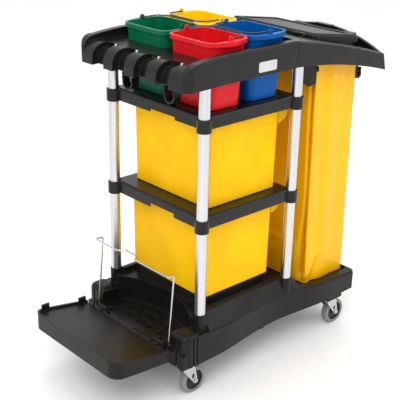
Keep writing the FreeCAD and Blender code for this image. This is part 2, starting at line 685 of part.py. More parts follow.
def bag():
    """Vinyl bag as a closed shell, open at its sloping top."""
    outer = tapered(BAG_BOTTOM, BAG_TOP, BAG_FLOOR + 0.6, 1140.0, 22.0, 18.0)
    inner = tapered((BAG_BOTTOM[0] + BAG_WALL, BAG_BOTTOM[1] - BAG_WALL, BAG_BOTTOM[2] - BAG_WALL),
                    (BAG_TOP[0] + BAG_WALL, BAG_TOP[1] - BAG_WALL, BAG_TOP[2] - BAG_WALL),
                    BAG_FLOOR + 0.6 + BAG_WALL, 1150.0, 19.0, 15.0)
    above = side_profile((540.0, fall_height(540.0) - SINK - DECK_WALL - 6.0),
                         [((840.0, fall_height(840.0) - SINK - DECK_WALL - 12.0),), ((840.0, 1300.0),),
                          ((540.0, 1300.0),)], -300.0, 300.0)
    return outer.cut(inner).cut(above)


# ---- moving pieces -----------------------------------------------------------------------
def bag_lid():
    """Shallow inverted tray with a dished top, made level, then tilted down to the bag end."""
    fall = LID_Z[0] - LID_Z[1]
    length = math.hypot(LID_X[1] - LID_X[0], fall)
    bevel, brim, dish_depth = 9.0, 26.0, 3.5
    low = slab(0.0, length, -LID_HALF, LID_HALF, -LID_SKIRT, -bevel, 14.0)
    crown_low = rounded_wire(0.0, length, -LID_HALF, LID_HALF, -bevel, 14.0)
    crown_top = rounded_wire(bevel, length - bevel, -LID_HALF + bevel, LID_HALF - bevel, 0.0, 12.0)
    body = low.fuse(Part.makeLoft([crown_low, crown_top], True, True))
    room = slab(LID_WALL, length - LID_WALL, -LID_HALF + LID_WALL, LID_HALF - LID_WALL,
                -LID_SKIRT - 1.0, -bevel - LID_WALL, 11.0)
    dish = slab(brim, length - brim, -LID_HALF + brim, LID_HALF - brim, -dish_depth, 5.0, 16.0)
    tab = slab(length - 2.0, length + 14.0, -30.0, 30.0, -16.0, -11.0, 5.0)
    body = fused([body, tab]).cut(room).cut(dish)
    body.rotate(V(0, 0, 0), V(0, 1, 0), math.degrees(math.atan2(fall, LID_X[1] - LID_X[0])))
    body.translate(V(LID_X[0], 0, LID_Z[0]))
    knuckles = []
    for y0, y1 in ((-148.0, -120.0), (120.0, 148.0)):
        knuckles.append(rod(6.0, (LID_PIN[0], y0, LID_PIN[1]), (LID_PIN[0], y1, LID_PIN[1])))
        knuckles.append(box(LID_PIN[0], LID_X[0] + 1.5, y0, y1, LID_PIN[1] - 4.0, LID_PIN[1] + 4.0))
    body = fused([body] + knuckles)
    for y0, y1 in lid_pin_spans():
        body = body.cut(lid_pin(3.0 + RUNNING, y0 - 20.0, y1 + 20.0))
    return body


def lid_pin(radius, y0, y1):
    return rod(radius, (LID_PIN[0], y0, LID_PIN[1]), (LID_PIN[0], y1, LID_PIN[1]))


def lid_pins():
    return Part.makeCompound([lid_pin(3.0, y0 + 0.4, y1 - 0.4) for y0, y1 in lid_pin_spans()])


def tub(place):
    """Open bin with a little draft and a grip lip at its bag end."""
    x0, z0 = place
    x1, z1 = x0 + TUB_DX, z0 + TUB_H
    draft = 4.0
    outer = tapered((x0 + draft, x1 - draft, TUB_HALF - draft), (x0, x1, TUB_HALF), z0, z1, 12.0, 16.0)
    outer = rounded_off(outer, 5.0, lambda c, e: abs(c.z - z0) < 0.01)
    wall = 3.0
    inner = tapered((x0 + draft + wall, x1 - draft - wall, TUB_HALF - draft - wall),
                    (x0 + wall, x1 - wall, TUB_HALF - wall), z0 + wall, z1 + 1.0, 9.0, 13.0)
    reach = x1 + TUB_LIP
    lip = side_profile((x1 - 2.0, z1),
                       [((reach, z1),), ((reach, z1 - TUB_LIP_H),),
                        ((reach - 14.0, z1 - TUB_LIP_H - 14.0),), ((x1 + 4.0, z1 - TUB_LIP_H - 22.0),),
                        ((x1 - 2.0, z1 - TUB_LIP_H - 24.0),)], -TUB_HALF + 3.0, TUB_HALF - 3.0)
    under = side_profile((x1, z1 - 4.0),
                         [((reach - 4.0, z1 - 4.0),), ((reach - 4.0, z1 - TUB_LIP_H + 1.0),),
                          ((x1, z1 - TUB_LIP_H - 16.0),)], -TUB_HALF + 7.0, TUB_HALF - 7.0)
    return fused([outer, lip.cut(under)]).cut(inner)


def pail(cx, cy):
    """Rounded rectangular pail with a rolled rim, bowed at its outer end, and two ears."""
    hx, hy = PAIL_DX / 2.0, PAIL_DY / 2.0
    r = 34.0
    z0, z1 = PAIL_BOTTOM, PAIL_TOP

    def skin(inset, low, high):
        bottom = rounded_wire(cx - 70.0 + inset, cx + 70.0 - inset, cy - 92.0 + inset, cy + 92.0 - inset,
                              low, 28.0 - inset)
        top = rounded_wire(cx - 83.0 + inset, cx + 83.0 - inset, cy - 106.0 + inset, cy + 106.0 - inset,
                           high, 34.0 - inset)
        return Part.makeLoft([bottom, top], True, True)
    outer = rounded_off(skin(0.0, z0, z1), 5.0, lambda c, e: abs(c.z - z0) < 0.01)

    def bowed(inset, low, high):
        plan = rounded_wire(cx - hx + inset, cx + hx - inset, cy - hy + inset, cy + hy - inset,
                            low, r + 4.0 - inset, PAIL_BOW)
        return Part.Face(plan).extrude(V(0, 0, high - low))
    rim = rounded_off(bowed(0.0, z1 - 15.0, z1), 2.0, lambda c, e: abs(c.z - z1) < 0.01)
    body = fused([rim.cut(bowed(2.5, z1 - 16.0, z1 - 3.0)), outer])
    ears = []
    for sign in (-1.0, 1.0):
        y = cy + sign * (hy - 7.0)
        ear = box(cx - 9.0, cx + 9.0, y - 2.5, y + 2.5, z1 - 6.0, EAR_PIN_Z)
        ears.append(ear)
        ears.append(rod(9.0, (cx, y - 2.5, EAR_PIN_Z), (cx, y + 2.5, EAR_PIN_Z)))
    body = fused([body] + ears)
    body = body.cut(skin(PAIL_WALL, z0 + PAIL_WALL, z1 + 0.5))
    for sign in (-1.0, 1.0):
        y = cy + sign * (hy - 7.0)
        body = body.cut(rod(PAIL_WIRE_R + 0.3, (cx, y - 6.0, EAR_PIN_Z), (cx, y + 6.0, EAR_PIN_Z)))
    return body


def pail_handle(cx, cy, way):
    """Wire bail laid over the rim, on the side that way points to."""
    span = PAIL_DY / 2.0 - 7.0
    reach = way * (PAIL_DX / 2.0 - 6.0)
    inset = span - 8.0
    z = EAR_PIN_Z
    points = [(cx, cy - span - 5.0, z), (cx, cy - inset, z), (cx + reach * 0.7, cy - inset, z),
              (cx + reach, cy - inset + 30.0, z), (cx + reach, cy + inset - 30.0, z),
              (cx + reach * 0.7, cy + inset, z), (cx, cy + inset, z), (cx, cy + span + 5.0, z)]
    return bent_wire(points, PAIL_WIRE_R, 4.5)


def folding_platform():
    """Shallow tray with a tall outer wall, hinged to the front of the base."""
    x0, x1 = PLATFORM_X
    half = PLATFORM_HALF

    def wedge(top_out, top_in, under_out, under_in, xa, xb, w):
        def at(pair, x):
            return line_at(x, pair, PLATFORM_X)
        return side_profile((xa, at((under_out, under_in), xa)),
                            [((xb, at((under_out, under_in), xb)),), ((xb, at((top_out, top_in), xb)),),
                             ((xa, at((top_out, top_in), xa)),)], -w, w)
    full = wedge(PLATFORM_RIM[0], PLATFORM_RIM[1], PLATFORM_UNDER[0], PLATFORM_UNDER[1], x0, x1, half)

    def plan(inset):
        return slab(x0 + inset, x1 + 60.0, -half + inset, half - inset, 90.0, 330.0,
                    PLATFORM_CORNER - inset)
    body = full.common(plan(0.0))
    floor_drop = 7.0
    dish = wedge(320.0, 320.0, PLATFORM_RIM[0] - floor_drop, PLATFORM_RIM[1] - floor_drop,
                 x0 + PLATFORM_WALL, x1 + 30.0, half - PLATFORM_WALL)
    groove = wedge(320.0, 320.0, PLATFORM_RIM[0] - floor_drop - 2.5, PLATFORM_RIM[1] - floor_drop - 2.5,
                   x1 - 16.0, x1 - 11.0, half - PLATFORM_WALL)
    body = body.cut(dish.common(plan(PLATFORM_WALL))).cut(groove)
    under = wedge(PLATFORM_RIM[0] - floor_drop - 5.0, PLATFORM_RIM[1] - floor_drop - 5.0, 100.0, 100.0,
                  x0 + 5.0, x1 - 6.0, half - 5.0)
    body = body.cut(under.common(plan(5.0)))
    parts = [body]
    for y in (-160.0, -80.0, 0.0, 80.0, 160.0):
        parts.append(wedge(PLATFORM_RIM[0] - floor_drop - 4.0, PLATFORM_RIM[1] - floor_drop - 4.0,
                           PLATFORM_UNDER[0] + 12.0, PLATFORM_UNDER[1] + 10.0, x0 + 3.0, x1 - 3.0, 1.5)
                     .translate(V(0, y, 0)))
    # upright lugs on the far wall
    for xa, xb, crown in ((x0 + 34.0, x0 + 66.0, 252.0), (x1 - 40.0, x1 - 8.0, 224.0)):
        parts.append(slab(xa, xb, half - 10.0, half, 190.0, crown, 4.5))
    # hinge arms that reach to the pin, with a knuckle each
    for y0, y1 in hinge_spans():
        parts.append(box(x1 - 8.0, HINGE_X, y0, y1, HINGE_Z - 8.0, HINGE_Z + 1.0))
        parts.append(rod(9.0, (HINGE_X, y0, HINGE_Z), (HINGE_X, y1, HINGE_Z)))
    # flap with two long slots, between the arms
    parts.append(box(x1 - 8.0, x1 + 23.0, -132.5, 132.5, HINGE_Z - 8.0, HINGE_Z - 2.0))
    body = fused(parts)
    for y0, y1 in ((-126.0, -30.0), (30.0, 126.0)):
        body = body.cut(slab(x1 + 2.0, x1 + 17.0, y0, y1, 150.0, 300.0, 4.0))
    for y0, y1 in hinge_spans():
        bore = rod(HINGE_PIN_R + RUNNING, (HINGE_X, y0 - 2.0, HINGE_Z), (HINGE_X, y1 + 2.0, HINGE_Z))
        body = body.cut(bore)
    return body


def hinge_spans():
    return ((-170.0, -146.0), (146.0, 170.0))


def hinge_pin_spans():
    return ((-184.0, -134.0), (134.0, 184.0))


def hinge_pins():
    """Pins of the folding platform, held in the base's lugs."""
    return Part.makeCompound([rod(HINGE_PIN_R, (HINGE_X, y0, HINGE_Z), (HINGE_X, y1, HINGE_Z))
                              for y0, y1 in hinge_pin_spans()])


def hinge_lugs():
    """Lugs on the front of the base, outside each hinge arm, that hold the pins."""
    lugs = []
    for y0, y1 in ((-184.0, -171.0), (-145.0, -134.0), (134.0, 145.0), (171.0, 184.0)):
        arm = box(HINGE_X, BASE_X[0] + 6.0, y0, y1, WELL_FLOOR - 12.0, HINGE_Z + 4.0)
        lugs.append(arm)
        lugs.append(rod(9.0, (HINGE_X, y0, HINGE_Z), (HINGE_X, y1, HINGE_Z)))
    return lugs


def bail_points():
    """Wire bail: two legs, a bar held off them, and a jog in the middle of the bar."""
    x, z = BAIL_PIVOT
    top = BAIL_TOP
    head = x + BAIL_LEAN
    out = head - 30.0
    w = BAIL_HALF
    return [(x, w + 14.0, z), (x, w, z), (head, w, top), (out, w + 4.0, top), (out, 74.0, top),
            (out + 24.0, 56.0, top), (out + 24.0, -6.0, top), (out, -24.0, top),
            (out, -w - 4.0, top), (head, -w, top), (x, -w, z), (x, -w - 14.0, z)]


def latch_bail():
    return bent_wire(bail_points(), BAIL_R, 7.0)


def bail_sockets():
    """Cheeks of the base that the bail's ends turn in."""
    cheeks = []
    for _, side in SIDES:
        x, z = BAIL_PIVOT
        cheek = box(x - 8.0, BASE_X[0] + 4.0, BAIL_HALF + 6.0, BAIL_HALF + 17.0, z - 14.0, z)
        cheeks.append(on_side(cheek, side))
        cheeks.append(rod(8.0, (x, side * (BAIL_HALF + 6.0), z), (x, side * (BAIL_HALF + 17.0), z)))
    return cheeks


def finished_base():
    body = fused([base_platform()] + hinge_lugs() + bail_sockets())
    for y0, y1 in hinge_pin_spans():
        body = body.cut(rod(HINGE_PIN_R, (HINGE_X, y0, HINGE_Z), (HINGE_X, y1, HINGE_Z)))
    x, z = BAIL_PIVOT
    for _, side in SIDES:
        bore = rod(BAIL_R + 0.3, (x, side * (BAIL_HALF + 2.0), z), (x, side * (BAIL_HALF + 15.0), z))
        body = body.cut(bore)
    return body


# ---- casters -------------------------------------------------------------------------------
def caster_plate(x, y):
    plate = slab(x - 30.0, x + 30.0, y - 30.0, y + 30.0, CASTER_H - 3.0, CASTER_H - 0.05, 6.0)
    race = rod(21.0, (x, y, CASTER_H - 7.0), (x, y, CASTER_H - 3.0))
    body = fused([plate, race])
    body = body.cut(rod(6.0 + RUNNING, (x, y, CASTER_H - 10.0), (x, y, CASTER_H + 1.0)))
    for sx in (-21.0, 21.0):
        for sy in (-21.0, 21.0):
            body = body.cut(rod(3.0, (x + sx, y + sy, CASTER_H - 6.0), (x + sx, y + sy, CASTER_H + 1.0)))
    return body


def caster_screws():
    """Screw heads under each caster's plate."""
    heads = []
    for x in CASTER_X:
        for _, side in SIDES:
            for sx in (-21.0, 21.0):
                for sy in (-21.0, 21.0):
                    px, py = x + sx, side * CASTER_Y + sy
                    head = rod(4.6, (px, py, CASTER_H - 5.6), (px, py, CASTER_H - 3.0))
                    shank = rod(2.9, (px, py, CASTER_H - 3.1), (px, py, CASTER_H - 0.2))
                    heads.append(head.fuse(shank))
    return Part.makeCompound(heads)


def caster_fork(x, y):
    """Stamped fork: bearing cup, crown and two slotted legs that trail behind the swivel."""
    top = CASTER_H - 7.0 - SWIVEL_GAP
    crown_z = top - 8.0
    axle_x = x + TRAIL
    cup = Part.makeCone(19.0, 25.0, 5.0, V(x, y, top - 5.0))
    crown = slab(x - 25.0, x + 27.0, y - 20.0, y + 20.0, crown_z, top - 5.0, 12.0)
    pieces = [cup, crown]
    for sign in (-1.0, 1.0):
        y0 = y + sign * 17.0 if sign > 0 else y - 20.0
        leg = side_profile((x - 20.0, top - 5.0),
                           [((x - 20.0, crown_z - 6.0),), ((axle_x - 9.0, WHEEL_R - 5.0),),
                            ((axle_x + 1.0, WHEEL_R - 11.0), (axle_x + 10.0, WHEEL_R - 3.0)),
                            ((x + 34.0, crown_z - 8.0),), ((x + 27.0, top - 5.0),)], y0, y0 + 3.0)
        slot = side_profile((axle_x - 17.0, 70.0),
                            [((axle_x - 12.0, 64.0), (axle_x - 6.0, 68.0)), ((axle_x - 5.0, 77.0),),
                             ((axle_x - 9.0, 82.0), (axle_x - 15.0, 78.0))], y0 - 1.0, y0 + 4.0)
        pieces.append(leg.cut(slot))
    pieces.append(rod(6.0, (x, y, top - 6.0), (x, y, CASTER_H - 0.6)))
    body = fused(pieces)
    return body.cut(rod(AXLE_R + 0.02, (axle_x, y - 25.0, WHEEL_R), (axle_x, y + 25.0, WHEEL_R)))


def caster_axle(x, y):
    axle_x = x + TRAIL
    shaft = rod(AXLE_R, (axle_x, y - 23.0, WHEEL_R), (axle_x, y + 23.0, WHEEL_R))
    head = rod(8.0, (axle_x, y - 24.5, WHEEL_R), (axle_x, y - 20.05, WHEEL_R))
    nut = rod(8.0, (axle_x, y + 20.05, WHEEL_R), (axle_x, y + 24.5, WHEEL_R))
    return fused([shaft, head, nut])


def wheel_hub(x, y):
    cx = x + TRAIL
    half = WHEEL_W / 2.0
    disc = rod(38.0, (cx, y - half + 2.0, WHEEL_R), (cx, y + half - 2.0, WHEEL_R))
    dish = tube(33.0, 13.0, (cx, y - half, WHEEL_R), (cx, y - half + 6.0, WHEEL_R))
    other = tube(33.0, 13.0, (cx, y + half - 6.0, WHEEL_R), (cx, y + half, WHEEL_R))
    boss = rod(11.0, (cx, y - 16.5, WHEEL_R), (cx, y + 16.5, WHEEL_R))
    body = fused([disc.cut(dish).cut(other), boss])
    return body.cut(rod(AXLE_R + RUNNING, (cx, y - 30.0, WHEEL_R), (cx, y + 30.0, WHEEL_R)))


def wheel_tread(x, y):
    cx = x + TRAIL
    half = WHEEL_W / 2.0
    ring = tube(WHEEL_R, 38.0, (cx, y - half, WHEEL_R), (cx, y + half, WHEEL_R))
    return rounded_off(ring, 5.0, lambda c, e: e.Length > 300.0)


# ---- assembly --------------------------------------------------------------------------------
def all_nodes():
    nodes = {"base": finished_base(),
             "middle_shelf": shelf(MIDDLE_Z),
             "upper_shelf": shelf(UPPER_Z),
             "top_deck": top_deck(),
             "name_plate": plate_shape(0.0),
             "tool_pegs": tool_pegs(),
             "collection_bag": bag(),
             "caster_screws": caster_screws(),
             "platform_hinge_pins": hinge_pins(),
             "lid_hinge_pins": lid_pins(),
             "bag_lid": bag_lid(),
             "lower_tub": tub(LOWER_TUB),
             "upper_tub": tub(UPPER_TUB),
             "folding_platform": folding_platform(),
             "latch_bail": latch_bail()}
    for name, side in SIDES:
        nodes["bag_tab_" + name] = bag_tab(side)
        nodes["bag_hook_" + name] = bag_hook(side)
        nodes["tool_bracket_" + name] = tool_bracket(side * BRACKET_Y[1])
        for end, place in ENDS:
            corner = name + "_" + end
            nodes["post_" + corner] = post(place * POST_DX, side)
            x, y = CASTER_X[place], side * CASTER_Y
            nodes["caster_plate_" + corner] = caster_plate(x, y)
            nodes["caster_fork_" + corner] = caster_fork(x, y)
            nodes["caster_axle_" + corner] = caster_axle(x, y)
            nodes["wheel_hub_" + corner] = wheel_hub(x, y)
            nodes["wheel_tread_" + corner] = wheel_tread(x, y)
    for colour, sx, sy, way in (("green", -0.5, 0.5, 1.0), ("red", -0.5, -0.5, 1.0),
                                ("yellow", 0.5, 0.5, -1.0), ("blue", 0.5, -0.5, -1.0)):
        cx = PAIL_CENTRE_X + sx * PAIL_PITCH_X
        cy = sy * PAIL_PITCH_Y
        nodes["pail_" + colour] = on_side(pail(cx, abs(cy)), sy)
        nodes["pail_handle_" + colour] = pail_handle(cx, cy, way)
    return nodes


os.makedirs("parts", exist_ok=True)
for node, shape in all_nodes().items():
    shape.translate(V(-CENTRE_X, 0, 0))
    shape.exportStep("parts/" + node + ".step")
    print(node, "solids", len(shape.Solids), "valid", shape.isValid(), "volume", round(shape.Volume))
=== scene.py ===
import math

import bmesh
import bpy
import numpy as np
from mathutils import Matrix, Vector, noise


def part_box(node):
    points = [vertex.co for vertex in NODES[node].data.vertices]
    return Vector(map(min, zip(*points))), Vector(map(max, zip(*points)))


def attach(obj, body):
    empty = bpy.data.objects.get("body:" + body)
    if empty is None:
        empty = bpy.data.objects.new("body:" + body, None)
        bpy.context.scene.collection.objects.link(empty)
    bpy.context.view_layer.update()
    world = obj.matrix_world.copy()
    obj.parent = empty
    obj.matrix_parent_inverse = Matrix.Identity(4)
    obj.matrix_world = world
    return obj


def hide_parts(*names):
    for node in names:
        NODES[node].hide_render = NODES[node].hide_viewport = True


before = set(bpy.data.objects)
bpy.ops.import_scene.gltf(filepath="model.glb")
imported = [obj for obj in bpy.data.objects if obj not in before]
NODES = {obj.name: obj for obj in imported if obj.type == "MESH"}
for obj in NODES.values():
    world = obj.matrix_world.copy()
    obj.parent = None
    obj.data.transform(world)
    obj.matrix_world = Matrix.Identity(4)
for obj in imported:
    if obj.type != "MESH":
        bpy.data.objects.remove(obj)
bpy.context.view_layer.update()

# Colours, linear
CHARCOAL = (0.0078, 0.0074, 0.0067)
YELLOW = (0.97, 0.510, 0.0)
PAIL_YELLOW = (0.98, 0.590, 0.0)
VINYL = (0.93, 0.475, 0.0)
GREEN = (0.000, 0.135, 0.058)
RED = (0.70, 0.008, 0.014)
BLUE = (0.0, 0.088, 0.34)
HANDLE = (0.022, 0.022, 0.024)
CHROME = (0.62, 0.61, 0.58)
ZINC = (0.56, 0.57, 0.58)
ALUMINIUM = (0.67, 0.67, 0.69)
TREAD = (0.22, 0.22, 0.23)


# ---- materials ------------------------------------------------------------------------
class Graph:
    """A node material under construction: a Principled shader and the nodes that feed it."""

    def __init__(self, name, **constants):
        self.mat = bpy.data.materials.new(name)
        self.mat.use_nodes = True
        self.tree = self.mat.node_tree
        self.shader = self.tree.nodes["Principled BSDF"]
        for socket, value in constants.items():
            self.shader.inputs[socket.replace("_", " ")].default_value = value
        self.place = self.add("ShaderNodeTexCoord").outputs["Object"]

    def add(self, kind, **settings):
        node = self.tree.nodes.new(kind)
        for key, value in settings.items():
            setattr(node, key, value)
        return node

    def feed(self, socket, value):
        if isinstance(value, bpy.types.NodeSocket):
            self.tree.links.new(value, socket)
        else:
            socket.default_value = value

    def stretched(self, scale):
        node = self.add("ShaderNodeMapping")
        self.feed(node.inputs["Vector"], self.place)
        node.inputs["Scale"].default_value = scale
        return node.outputs["Vector"]

    def noise(self, scale, detail=3.0, roughness=0.55, stretch=(1, 1, 1), distortion=0.0):
        node = self.add("ShaderNodeTexNoise")
        self.feed(node.inputs["Vector"], self.stretched(stretch))
        node.inputs["Scale"].default_value = scale
        node.inputs["Detail"].default_value = detail
        node.inputs["Roughness"].default_value = roughness
        node.inputs["Distortion"].default_value = distortion
        return node.outputs["Fac"]

    def spans(self, value, low, high, out_low=0.0, out_high=1.0):
        node = self.add("ShaderNodeMapRange")
        self.feed(node.inputs["Value"], value)
        limits = {"From Min": low, "From Max": high, "To Min": out_low, "To Max": out_high}
        for key, number in limits.items():
            node.inputs[key].default_value = number
        return node.outputs["Result"]

    def mixed(self, share, a, b, blend="MIX"):
        node = self.add("ShaderNodeMix", data_type="RGBA", blend_type=blend)
        self.feed(node.inputs[0], share)
        for index, colour in ((6, a), (7, b)):
            self.feed(node.inputs[index], (*colour, 1.0) if isinstance(colour, tuple) else colour)
        return node.outputs[2]

    def times(self, a, b):
        node = self.add("ShaderNodeMath", operation="MULTIPLY")
        self.feed(node.inputs[0], a)
        self.feed(node.inputs[1], b)
        return node.outputs[0]

    def plus(self, a, b):
        node = self.add("ShaderNodeMath", operation="ADD")
        self.feed(node.inputs[0], a)
        self.feed(node.inputs[1], b)
        return node.outputs[0]

    def hollows(self, reach):
        """1 in the open, towards 0 in hollow corners; drives the painted shade in corners and the corner
        dust.
        """
        node = self.add("ShaderNodeAmbientOcclusion", samples=4)
        node.inputs["Distance"].default_value = reach
        return node.outputs["AO"]

    def edges(self, radius):
        """Towards 1 along sharp edges, where the finish wears."""
        soft = self.add("ShaderNodeBevel", samples=4)
        soft.inputs["Radius"].default_value = radius
        sharp = self.add("ShaderNodeNewGeometry")
        dot = self.add("ShaderNodeVectorMath", operation="DOT_PRODUCT")
        self.feed(dot.inputs[0], soft.outputs["Normal"])
        self.feed(dot.inputs[1], sharp.outputs["Normal"])
        return self.spans(dot.outputs["Value"], 0.97, 0.80)

    def relief(self, heights, round_edges=0.0):
        """Bump from (height, distance) pairs over softly rounded edges."""
        normal = None
        if round_edges:
            soft = self.add("ShaderNodeBevel", samples=6)
            soft.inputs["Radius"].default_value = round_edges
            normal = soft.outputs["Normal"]
        for height, distance in heights:
            bump = self.add("ShaderNodeBump")
            bump.inputs["Distance"].default_value = distance
            self.feed(bump.inputs["Height"], height)
            if normal is not None:
                self.feed(bump.inputs["Normal"], normal)
            normal = bump.outputs["Normal"]
        self.feed(self.shader.inputs["Normal"], normal)

    def colour(self, value):
        self.feed(self.shader.inputs["Base Color"], value)

    def rough(self, value):
        self.feed(self.shader.inputs["Roughness"], value)


def shade(colour, factor):
    return tuple(min(1.0, c * factor) for c in colour)


def moulded(name, colour, rough, edge=0.0015, dust_and_shade=(0.10, 0.095, 0.085), dust_and_shade_share=0.25, scuffs=0.5,
            **constants):
    """Moulded plastic: cloudy colour, fine grain, scuffed edges, and a corner colour in the hollows that
    is dust on the black plastic and painted shade on the coloured ones.
    """
    g = Graph(name, **constants)
    cloud = g.noise(7.0, 4.0)
    fine = g.noise(160.0, 3.0)
    body = g.mixed(g.spans(cloud, 0.3, 0.7), shade(colour, 0.90), shade(colour, 1.10))
    # corner colour in the hollows: grey dust on the black plastic, and a darker copy of the body colour
    # on the coloured plastics, which is painted shade
    corner = g.spans(g.hollows(0.03), 0.75, 0.25)
    body = g.mixed(g.times(corner, g.spans(fine, 0.35, 0.7, 0.0, dust_and_shade_share)), body, dust_and_shade)
    scratch = g.spans(g.noise(46.0, 6.0, 0.75, (1.0, 5.0, 1.0)), 0.62, 0.74)
    worn = g.times(g.edges(0.003), g.spans(g.noise(38.0, 4.0), 0.42, 0.62, 0.0, scuffs))
    body = g.mixed(worn, body, tuple(min(1.0, c * 1.5 + 0.05) for c in colour))
    pale = tuple(min(1.0, c * 1.6 + 0.08) for c in colour)
    g.colour(g.mixed(g.times(scratch, 0.10 * scuffs), body, pale))
    g.rough(g.plus(g.spans(cloud, 0.25, 0.75, rough - 0.05, rough + 0.06), g.times(scratch, 0.08)))
    g.relief([(g.noise(900.0, 2.0), 0.00012), (cloud, 0.0006)], edge)
    return g.mat


def metal(name, colour, rough, stretch=(1, 1, 1), edge=0.0008, corner_shade=0.35, spotty=0.3):
    """Bare metal with a drawn grain, faint spots and corners darkened with painted shade."""
    g = Graph(name, Metallic=1.0)
    grain = g.noise(420.0, 3.0, 0.6, stretch)
    spots = g.spans(g.noise(34.0, 5.0, 0.7), 0.55, 0.75)
    body = g.mixed(g.spans(grain, 0.3, 0.7), shade(colour, 0.88), shade(colour, 1.06))
    body = g.mixed(g.times(spots, spotty), body, shade(colour, 0.62))
    # painted shade: hollow corners darken towards near-black
    corner = g.spans(g.hollows(0.012), 0.7, 0.2, 0.0, corner_shade)
    g.colour(g.mixed(corner, body, (0.05, 0.045, 0.04)))
    g.rough(g.plus(g.spans(grain, 0.25, 0.75, rough - 0.06, rough + 0.07), g.times(spots, 0.4 * spotty)))
    g.relief([(grain, 0.00005)], edge)
    return g.mat


def rubber(name, colour):
    g = Graph(name, Specular_IOR_Level=0.35)
    cloud = g.noise(30.0, 4.0)
    speck = g.spans(g.noise(300.0, 3.0, 0.7), 0.55, 0.68)
    body = g.mixed(g.spans(cloud, 0.3, 0.7), shade(colour, 0.85), shade(colour, 1.1))
    g.colour(g.mixed(g.times(speck, 0.35), body, (0.09, 0.085, 0.08)))
    g.rough(g.spans(cloud, 0.3, 0.7, 0.55, 0.72))
    g.relief([(g.noise(700.0, 2.0), 0.0002)], 0.0015)
    return g.mat


def soft_vinyl(name, colour):
    """Coated cloth: a faint weave under a glossy skin, with fine puckers, rubbed patches and painted
    shade in its creases and hollows.
    """
    g = Graph(name, Coat_Weight=0.10, Coat_Roughness=0.12, Specular_IOR_Level=0.22)
    cloud = g.noise(5.0, 4.0)
    body = g.mixed(g.spans(cloud, 0.3, 0.7), shade(colour, 0.93), shade(colour, 1.05))
    rubbed = g.spans(g.noise(26.0, 5.0, 0.7), 0.60, 0.74, 0.0, 0.20)
    body = g.mixed(rubbed, body, (0.80, 0.40, 0.02))
    # painted shade: hollows and the tucked crease darken to brown
    corner = g.spans(g.hollows(0.022), 0.30, 0.06, 0.0, 0.75)
    g.colour(g.mixed(corner, body, (0.16, 0.055, 0.002)))
    g.rough(g.plus(g.spans(cloud, 0.25, 0.75, 0.26, 0.36), g.times(rubbed, 0.6)))
    pucker = g.noise(34.0, 3.0, 0.5, (1.0, 1.0, 0.5))
    weave = g.noise(1100.0, 1.0)
    g.relief([(pucker, 0.0014), (weave, 0.00008)])
    return g.mat


vinyl = soft_vinyl("yellow_vinyl_cloth", VINYL)
black = moulded("charcoal_plastic", CHARCOAL, 0.32, edge=0.0025, Specular_IOR_Level=0.20)
# the tubs' corner colour is a darker orange: painted shade in the hollows
yellow = moulded("yellow_plastic", YELLOW, 0.46, dust_and_shade=(0.55, 0.27, 0.01), dust_and_shade_share=0.3, scuffs=0.12,
                 Specular_IOR_Level=0.12)
deck_black = moulded("charcoal_deck", CHARCOAL, 0.24, edge=0.0025, scuffs=0.3, Specular_IOR_Level=0.28)
PAIL_ROUGH = 0.28
PAIL_PLASTICS = {               # material name, colour, corner colour (painted shade: a darker copy of the colour), specular level
    "green": ("green_plastic", GREEN, (0.0, 0.05, 0.02), 0.20),
    "red": ("red_plastic", RED, (0.25, 0.01, 0.01), 0.18),
    "yellow": ("pail_yellow_plastic", PAIL_YELLOW, (0.45, 0.25, 0.03), 0.30),
    "blue": ("blue_plastic", BLUE, (0.0, 0.02, 0.12), 0.13)}


def pail_plastic(name, colour, dust_and_shade, gloss):
    return moulded(name, colour, PAIL_ROUGH, dust_and_shade=dust_and_shade, dust_and_shade_share=0.10, scuffs=0.08, Specular_IOR_Level=gloss)


pails = {pail: pail_plastic(*row) for pail, row in PAIL_PLASTICS.items()}
aluminium = metal("satin_aluminium", ALUMINIUM, 0.27, (1.0, 1.0, 0.02), spotty=0.08)
chrome = metal("bright_wire", CHROME, 0.22)
zinc = metal("zinc_plate", ZINC, 0.26, corner_shade=0.6)
tread = rubber("grey_tread", TREAD)
hub = rubber("black_hub", (0.02, 0.02, 0.02))
handle = moulded("handle_coat", HANDLE, 0.35, edge=0.0)
plate = moulded("plate_enamel", (0.55, 0.55, 0.56), 0.30)
zip_black = moulded("zip_plastic", (0.014, 0.014, 0.015), 0.40, edge=0.0004)

FINISH = (("base", black), ("middle_shelf", deck_black), ("upper_shelf", deck_black),
          ("top_deck", deck_black),
          ("folding_platform", black), ("bag_lid", black), ("tool_bracket", black), ("tool_pegs", zinc),
          ("bag_tab", black), ("bag_hook", black), ("name_plate", plate), ("collection_bag", yellow),
          ("lower_tub", yellow), ("upper_tub", yellow), ("post", aluminium), ("latch_bail", chrome),
          ("caster_plate", zinc), ("caster_fork", zinc), ("caster_axle", zinc), ("caster_screws", zinc),
          ("lid_hinge_pins", zinc), ("platform_hinge_pins", zinc), ("wheel_hub", hub),
          ("wheel_tread", tread), ("pail_handle", handle),
          ("pail_green", pails["green"]), ("pail_red", pails["red"]), ("pail_yellow", pails["yellow"]),
          ("pail_blue", pails["blue"]))


def finish_for(node):
    return next(material for prefix, material in FINISH if node.startswith(prefix))


for node_name, node_object in NODES.items():
    node_object.data.materials.clear()
    node_object.data.materials.append(finish_for(node_name))


